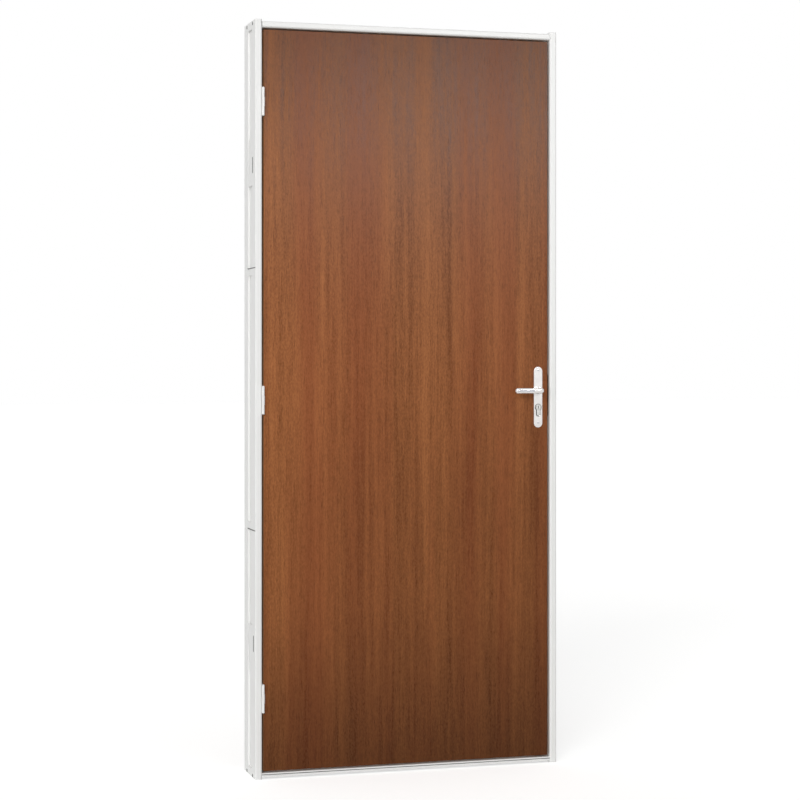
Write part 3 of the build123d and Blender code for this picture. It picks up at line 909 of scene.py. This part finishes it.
@dataclass
class FrameSet:
    """The white frame: jambs, head, threshold, stops, wall ties and anchors, and the strike plate."""

    dresser: Dresser
    softened: float = 0.5 * MM
    screw_from_top: float = 8 * MM
    screw_from_foot: float = 5.5 * MM
    screw_places: Span = (15 * MM, 90 * MM)
    strike_screw_inset: float = 5.2 * MM
    # Size and place of the painted shadow strips at the ties and under the threshold's lip.
    shadow_strip_height: float = 2.6 * MM
    shadow_strip_depth: float = 1.2 * MM
    shadow_strip_sunk: float = 0.1 * MM
    shadow_strip_inset: float = 4 * MM
    shadow_strip_reach: float = 6 * MM
    lip_drop: float = 3.5 * MM
    lip_height: float = 2 * MM
    # Size and place of the painted shadow in front of each anchor's strap.
    anchor_shadow_size: Span = (9 * MM, 46 * MM)
    anchor_shadow_depth: float = 0.5 * MM
    anchor_shadow_proud: float = 0.01 * MM
    upper_anchor_shadow: Span = (-9.5 * MM, 57 * MM)
    lower_anchor_shadow: Span = (-20 * MM, 84 * MM)

    MEMBERS = ("hinge_jamb", "lock_jamb", "head", "threshold", "hinge_stop", "lock_stop", "head_stop")
    WALL_PIECES = ("upper_tie", "lower_tie", "upper_anchor", "lower_anchor")
    END_SCREW = Screw(diameter=10.4 * MM, crown=0.005 * MM, recess=0.01 * MM)
    STRIKE_SCREW = Screw(diameter=5.6 * MM, crown=0.15 * MM, recess=0.12 * MM)

    def dress(self) -> None:
        """Give the frame's solids their finish."""
        wall_pieces = [f"{jamb}_{piece}" for jamb, _ in JAMBS for piece in self.WALL_PIECES]
        self.dresser.dress(FRAME_COAT, self.softened, *self.MEMBERS, *wall_pieces)
        self.dresser.dress(LOCK_STEEL, self.softened, "strike_plate")

    def add_painted_shade(self, name: str, surface: Surface, place: Matrix) -> None:
        """Add a piece of painted shadow to the frame."""
        self.dresser.add_surface(name, surface, PAINTED_FRAME_SHADOW, place, Body.FRAME, Slot.FRAME_WHITE)

    def painted_shadow_strip(self) -> None:
        """Add the painted shadow strips along the joint line next to each tie, and in the groove under the
        threshold's lip, where there is only shade.
        """
        sunk = self.shadow_strip_sunk + self.shadow_strip_depth / 2
        for jamb, facing in JAMBS:
            inside = face_of(jamb, facing).x - facing.value[0] * sunk
            for tie, rises in (("upper_tie", True), ("lower_tie", False)):
                low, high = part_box(f"{jamb}_{tie}")
                height = high.z if rises else low.z - self.shadow_strip_height
                back = high.y + self.shadow_strip_reach
                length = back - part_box(jamb)[0].y - self.shadow_strip_inset
                strip = block((self.shadow_strip_depth, length, self.shadow_strip_height))
                middle = (inside, back - length / 2, height + self.shadow_strip_height / 2)
                self.add_painted_shade(f"{jamb}_{tie}_seal", strip, Matrix.Translation(middle))
        low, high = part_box("threshold")
        height = high.z - self.lip_drop - self.lip_height / 2
        for side, facing in SIDES:
            face = face_of("threshold", facing)
            strip = block((high.x - low.x - self.shadow_strip_sunk, self.shadow_strip_depth, self.lip_height))
            middle = (face.x, face.y - facing.value[1] * sunk, height)
            self.add_painted_shade(f"threshold_{side}_seal", strip, Matrix.Translation(middle))

    def paint_anchor_shadows(self) -> None:
        """Add painted shadow in front of each wall anchor's strap, where the opening under the bent strap
        lies in shade, on the wall side of both jambs.
        """
        slots = (("upper_anchor", self.upper_anchor_shadow), ("lower_anchor", self.lower_anchor_shadow))
        for jamb, facing in JAMBS:
            for anchor, (beside, rise) in slots:
                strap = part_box(f"{jamb}_{anchor}")[0]
                middle = (face_of(jamb, facing).x, strap.y + beside, strap.z + rise)
                slab = round_ended(self.anchor_shadow_size, self.anchor_shadow_depth)
                self.add_painted_shade(f"{jamb}_{anchor}_slot", slab, looking(middle, facing, self.anchor_shadow_proud))

    def build(self) -> None:
        """Add the painted shadow strips at the ties and the threshold, the painted shadows in front of the
        anchors' straps, and the screws in the jamb ends and the strike plate.
        """
        self.painted_shadow_strip()
        self.paint_anchor_shadows()
        mesh = self.END_SCREW.mesh("jamb_end_screw", self.dresser, BLACK_SCREW)
        for jamb, facing in JAMBS:
            low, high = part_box(jamb)
            ends = (("top", high.z - self.screw_from_top), ("foot", low.z + self.screw_from_foot))
            for end, height in ends:
                for (side, _), depth in zip(SIDES, self.screw_places):
                    place = looking((face_of(jamb, facing).x, depth, height), facing)
                    self.dresser.add(f"{jamb}_{end}_{side}_screw", mesh, place, Body.FRAME, Slot.STEEL)
        mesh = self.STRIKE_SCREW.mesh("strike_screw", self.dresser, SCREW_STEEL)
        low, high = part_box("strike_plate")
        inset = self.strike_screw_inset
        for end, height in (("lower", low.z + inset), ("upper", high.z - inset)):
            place = looking((low.x, (low.y + high.y) / 2, height), Facing.LEFT)
            self.dresser.add(f"strike_plate_{end}_screw", mesh, place, Body.FRAME, Slot.STEEL)


@dataclass
class HingeSet:
    """Three butt hinges with their pins and screws."""

    dresser: Dresser
    softened: float = 0.35 * MM
    plate: float = 2 * MM
    proud: float = 0.5 * MM
    screw_spread: float = 27 * MM
    screw_rows: Span = (-7 * MM, 4 * MM)

    PLACES = ("upper", "middle", "lower")
    SCREW = Screw(diameter=6.4 * MM, crown=0.1 * MM, recess=0.1 * MM)

    def dress(self) -> None:
        """Give the hinges their paint."""
        for place in self.PLACES:
            for piece in ("jamb_plate", "door_plate", "pin"):
                self.dresser.dress(HINGE_PAINT, self.softened, f"{place}_hinge_{piece}")

    def build(self) -> None:
        """Add three screws to each plate, staggered as on a butt hinge."""
        mesh = self.SCREW.mesh("hinge_screw", self.dresser, HINGE_PAINT)
        jamb_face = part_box("hinge_jamb")[1].x + self.plate
        door_face = LEAF_LOW.x - self.proud
        near, far = self.screw_rows
        spots = ((near, -self.screw_spread), (far, 0.0), (near, self.screw_spread))
        for place in self.PLACES:
            low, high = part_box(f"{place}_hinge_jamb_plate")
            middle = (low.z + high.z) / 2
            for number, (depth, rise) in enumerate(spots, start=1):
                on_jamb = looking((jamb_face, depth, middle + rise), Facing.RIGHT)
                on_door = looking((door_face, depth, middle + rise), Facing.LEFT)
                name = f"{place}_hinge_screw_{number}"
                self.dresser.add("jamb_" + name, mesh, on_jamb, Body.FRAME, Slot.HINGE_WHITE)
                self.dresser.add("door_" + name, mesh, on_door, Body.LEAF, Slot.HINGE_WHITE)


@dataclass
class LeafSet:
    """The door leaf: two veneered skins on stiles and rails."""

    dresser: Dresser
    skin_softened: float = 0.6 * MM
    edge_softened: float = 0.25 * MM

    def dress(self) -> None:
        """Give the leaf its veneer and edges."""
        self.dresser.dress(VENEER, self.skin_softened, "front_skin", "back_skin")
        self.dresser.dress(UPRIGHT_EDGE, self.edge_softened, "hinge_stile", "lock_stile")
        self.dresser.dress(CROSS_EDGE, self.edge_softened, "top_rail", "bottom_rail")


@dataclass
class LockSet:
    """The lock in the leaf's edge and its profile cylinder."""

    dresser: Dresser
    softened: float = 0.3 * MM
    plate_screw_inset: float = 14 * MM
    plug_radius: float = 6.4 * MM
    plug_drop: float = 8.5 * MM
    # Sizes of the painted shade in the plug's seam, in the gap round the cylinder and in the keyway.
    seam: float = 0.22 * MM
    gap_radius: float = 9.9 * MM
    gap_leg: float = 12.8 * MM
    gap_below: float = 1.4 * MM
    gap_depth: float = 1.3 * MM
    gap_thickness: float = 1.2 * MM
    keyway: Span = (1.5 * MM, 8.3 * MM)
    keyway_depth: float = 0.5 * MM

    PLATE_SCREW = Screw(diameter=7 * MM, crown=0.15 * MM, recess=0.12 * MM)
    SEAM_SEGMENTS = 64
    SEAM_STEPS = 6

    def dress(self) -> None:
        """Give the lock its metals."""
        steel = ("lock_faceplate", "lock_case", "latch_bolt", "dead_bolt")
        self.dresser.dress(LOCK_STEEL, self.softened, *steel)
        self.dresser.dress(CYLINDER_PLATE, self.softened, "lock_cylinder")

    def add_painted_shade(self, name: str, surface: Surface, place: Matrix) -> None:
        """Add a piece of painted shade to the cylinder."""
        self.dresser.add_surface(name, surface, PAINTED_RECESS_SHADE, place, Body.LEAF, Slot.CYLINDER)

    def paint_cylinder_shade(self, side: str, facing: Facing) -> None:
        """Add painted shade in the gap round the cylinder and in its keyway, on one face.

        Args:
            side: The face's name, front or back.
            facing: The direction that it looks in.
        """
        low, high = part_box("lock_cylinder")
        middle = face_of(f"{side}_plate", facing)
        middle.x = (low.x + high.x) / 2
        middle.z = high.z - self.plug_drop
        rim = [(self.gap_radius, 0.0), (self.gap_radius, -self.gap_thickness)]
        disc = turned([(0.0, 0.0), *rim, (0.0, -self.gap_thickness)], self.SEAM_SEGMENTS)
        self.add_painted_shade(f"{side}_cylinder_gap", disc, looking(middle, facing, -self.gap_depth))
        bottom = low.z - self.gap_below
        length = middle.z - bottom + self.gap_leg / 2
        leg = round_ended((self.gap_leg, length), self.gap_thickness)
        place = looking((middle.x, middle.y, bottom + length / 2), facing, -self.gap_depth)
        self.add_painted_shade(f"{side}_cylinder_leg_gap", leg, place)
        middle.y = face_of("lock_cylinder", facing).y
        slot = round_ended(self.keyway, self.keyway_depth)
        self.add_painted_shade(f"{side}_keyway", slot, looking(middle, facing, -self.keyway_depth))

    def build(self) -> None:
        """Add the faceplate's screws, and painted shade in the gap, the keyway and the plug's seam at both
        ends of the cylinder.
        """
        mesh = self.PLATE_SCREW.mesh("faceplate_screw", self.dresser, SCREW_STEEL)
        low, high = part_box("lock_faceplate")
        inset = self.plate_screw_inset
        for end, height in (("lower", low.z + inset), ("upper", high.z - inset)):
            place = looking((high.x, (low.y + high.y) / 2, height), Facing.RIGHT)
            self.dresser.add(f"faceplate_{end}_screw", mesh, place, Body.LEAF, Slot.STEEL)
        # A thin ring of painted shade in the seam round the plug.
        steps = half_turn(self.SEAM_STEPS)
        profile = [(self.plug_radius - self.seam * math.cos(a), self.seam * math.sin(a) / 2) for a in steps]
        ring = turned(profile, self.SEAM_SEGMENTS, ring=True)
        mesh = self.dresser.mesh("plug_seam", ring, PAINTED_RECESS_SHADE)
        for side, facing in SIDES:
            centre = face_of("lock_cylinder", facing)
            centre.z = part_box("lock_cylinder")[1].z - self.plug_drop
            self.dresser.add(f"{side}_plug_seam", mesh, looking(centre, facing), Body.LEAF, Slot.CYLINDER)
            self.paint_cylinder_shade(side, facing)


@dataclass
class HandleSet:
    """Long plates, levers and spindle on both faces of the leaf."""

    dresser: Dresser
    plate_softened: float = 0.25 * MM
    lever_softened: float = 0.8 * MM
    upper_screw_inset: float = 10 * MM
    lower_screw_inset: float = 14 * MM
    neck_radius: float = 9.6 * MM
    collar_width: float = 1.1 * MM
    collar_height: float = 1.2 * MM
    spindle_below_top: float = 68 * MM
    grub_out: float = 7 * MM
    flat_size: Span = (52 * MM, 5.6 * MM)
    flat_from_tip: float = 5.5 * MM
    flat_proud: float = 0.02 * MM
    flat_sunk: float = 0.3 * MM

    PLATE_SCREW = Screw(diameter=6.2 * MM, crown=0.2 * MM, recess=0.2 * MM, drive=Drive.SLOT)
    GRUB_SCREW = Screw(diameter=4.6 * MM, crown=0.05 * MM, recess=0.15 * MM, drive=Drive.HEX)
    COLLAR_SEGMENTS = 72
    COLLAR_STEPS = 8

    def dress(self) -> None:
        """Give the handles their satin metal."""
        for side, _ in SIDES:
            self.dresser.dress(HANDLE_METAL, self.plate_softened, f"{side}_plate")
            self.dresser.dress(HANDLE_METAL, self.lever_softened, f"{side}_lever")
        self.dresser.dress(LOCK_STEEL, self.plate_softened, "spindle")

    def collar(self) -> Mesh:
        """Build the ring that the lever's neck turns in.

        Returns:
            The ring's mesh, looking along Z.
        """
        inner = self.neck_radius
        edge = self.collar_width / 2
        crown = [
            (inner + edge - edge * math.cos(a), self.collar_height - edge + edge * math.sin(a))
            for a in half_turn(self.COLLAR_STEPS)
        ]
        profile = [(inner, -edge), *crown, (inner + self.collar_width, -edge)]
        ring = turned(profile, self.COLLAR_SEGMENTS, ring=True)
        for face in ring.faces:
            face.smooth = True
        return self.dresser.mesh("lever_collar", ring, HANDLE_METAL)

    def add_painted_shade_flat(self, side: str, facing: Facing) -> None:
        """Add the brushed flat along the outer face of one lever, darkened as painted shade for the flat's
        duller reflection.

        Args:
            side: The lever's name, front or back.
            facing: The direction that its outer face looks in.
        """
        middle = face_of(f"{side}_lever", facing)
        middle.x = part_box(f"{side}_lever")[0].x + self.flat_from_tip + self.flat_size[0] / 2
        slab = round_ended(self.flat_size, self.flat_proud + self.flat_sunk)
        place = looking(middle, facing, self.flat_proud)
        self.dresser.add_surface(f"{side}_lever_flat", slab, PAINTED_SHADE_LEVER_FLAT, place, Body.LEVERS, Slot.HANDLE)

    def build(self) -> None:
        """Add the plates' screws, the levers' collars and grub screws, and the brushed flats with painted
        shade along the levers.
        """
        plate_screw = self.PLATE_SCREW.mesh("plate_screw", self.dresser, SCREW_STEEL)
        grub_screw = self.GRUB_SCREW.mesh("grub_screw", self.dresser, SCREW_STEEL)
        collar = self.collar()
        for side, facing in SIDES:
            low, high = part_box(f"{side}_plate")
            spindle = face_of(f"{side}_plate", facing)
            ends = (("upper", high.z - self.upper_screw_inset), ("lower", low.z + self.lower_screw_inset))
            for end, height in ends:
                place = looking((spindle.x, spindle.y, height), facing)
                self.dresser.add(f"{side}_plate_{end}_screw", plate_screw, place, Body.LEAF, Slot.HANDLE)
            spindle.z = high.z - self.spindle_below_top
            place = looking(spindle, facing)
            self.dresser.add(f"{side}_lever_collar", collar, place, Body.LEAF, Slot.HANDLE)
            low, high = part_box(f"{side}_lever")
            neck = spindle + Vector(facing.value) * self.grub_out
            place = looking(neck, Facing.DOWN, (high.z - low.z) / 2)
            self.dresser.add(f"{side}_lever_grub_screw", grub_screw, place, Body.LEVERS, Slot.STEEL)
            self.add_painted_shade_flat(side, facing)


@dataclass(frozen=True)
class Lamp:
    """A distant soft lamp.

    Attributes:
        name: Its name.
        place: Direction that it shines from.
        strength: Its strength.
        softness: Angle that it fills in the sky.
        mirrored: Whether shiny surfaces mirror it.
    """

    name: str
    place: Point
    strength: float
    softness: float
    mirrored: bool = False

    def hang(self) -> None:
        """Add the lamp to the scene."""
        light = bpy.data.lights.new(self.name, "SUN")
        light.energy = self.strength
        light.angle = self.softness
        lamp = linked(self.name, light)
        lamp.matrix_world = turned_to(Vector(self.place))
        lamp.visible_glossy = self.mirrored


@dataclass
class Studio:
    """Pale floor, white surroundings, soft light and the camera."""

    floor_size: float = 80.0
    floor_colour: str = "e9e9e8"
    floor_roughness: float = 0.9
    floor_glow: float = 0.56
    white: float = 1.0
    room_light: float = 0.4
    panel_place: Point = (1.95, -4.2, 2.43)
    panel_size: Span = (2.3, 0.5)
    panel_power: float = 125.0
    camera_place: Point = (-1.1691, -5.5034, 1.1763)
    camera_turn: float = 0.281
    camera_lens: float = 91.71
    camera_sensor: float = 36.0
    camera_shift: float = -0.0606

    LAMPS = (
        Lamp(name="key", place=(-0.46, -0.8, 0.38), strength=1.1, softness=math.radians(25), mirrored=True),
        Lamp(name="front_fill", place=(-0.28, -0.96, 0.03), strength=0.78, softness=math.radians(20)),
        Lamp(name="side_fill", place=(-0.95, -0.28, 0.12), strength=0.7, softness=math.radians(40)),
    )

    @staticmethod
    def seen(graph: Graph) -> Socket:
        """Value of 1 for rays from the camera, and for those that metal or glass sends on."""
        path = graph.add("LightPath").outputs
        glossy = graph.math("MAXIMUM", path["Is Glossy Ray"], path["Is Transmission Ray"])
        return graph.math("MAXIMUM", path["Is Camera Ray"], glossy)

    def surround(self) -> None:
        """Make the surroundings white to the camera and an even light to the object."""
        world = bpy.data.worlds.new("studio")
        world.use_nodes = True
        bpy.context.scene.world = world
        graph = Graph(world.node_tree)
        strength = graph.spread(self.seen(graph), UNIT, (self.room_light, self.white))
        graph.fill(world.node_tree.nodes["Background"], {"Color": WHITE, "Strength": strength})

    def lay_floor(self) -> None:
        """Lay a pale floor that looks white and keeps the shadow."""
        half = self.floor_size / 2
        corners = [(-half, -half, 0), (half, -half, 0), (half, half, 0), (-half, half, 0)]
        mesh = bpy.data.meshes.new("floor")
        mesh.from_pydata(corners, [], [(0, 1, 2, 3)])
        material, graph, shader = new_material("floor")
        graph.fill(shader, {
            "Base Color": linear(self.floor_colour),
            "Roughness": self.floor_roughness,
            "Specular IOR Level": 0.0,
            "Emission Color": WHITE,
            "Emission Strength": graph.math("MULTIPLY", self.seen(graph), self.floor_glow),
        })
        mesh.materials.append(material)
        floor = linked("floor", mesh)

    def light(self) -> None:
        """Hang the soft lamps and the panel that the lacquer mirrors near its top."""
        for lamp in self.LAMPS:
            lamp.hang()
        light = bpy.data.lights.new("panel", "AREA")
        light.energy = self.panel_power
        light.shape = "RECTANGLE"
        light.size, light.size_y = self.panel_size
        panel = linked("panel", light)
        panel.visible_diffuse = False
        leaf_top = Vector(((LEAF_LOW.x + LEAF_HIGH.x) / 2, LEAF_LOW.y, LEAF_HIGH.z))
        turn = turned_to(Vector(self.panel_place) - leaf_top)
        panel.matrix_world = Matrix.Translation(self.panel_place) @ turn

    def stand_camera(self) -> None:
        """Stand the camera level, in front and towards the hinge side."""
        camera = bpy.data.cameras.new("camera")
        camera.lens = self.camera_lens
        camera.sensor_width = self.camera_sensor
        camera.shift_y = self.camera_shift
        view = linked("camera", camera)
        view.location = self.camera_place
        view.rotation_euler = (math.pi / 2, 0.0, -self.camera_turn)
        bpy.context.scene.camera = view

    def build(self) -> None:
        """Set up the whole studio."""
        self.surround()
        self.lay_floor()
        self.light()
        self.stand_camera()
        bpy.context.scene.view_settings.view_transform = "Standard"
        log.info("studio is set up")


def main() -> None:
    """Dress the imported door, add its small pieces and set up the studio."""
    logging.basicConfig(level=logging.INFO, format="%(name)s: %(message)s")
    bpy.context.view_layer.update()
    dresser = Dresser()
    fitted = (FrameSet(dresser), HingeSet(dresser), LockSet(dresser), HandleSet(dresser))
    for assembly in (*fitted, LeafSet(dresser)):
        assembly.dress()
    for assembly in fitted:
        assembly.build()
    Studio().build()


if __name__ == "__main__":
    main()
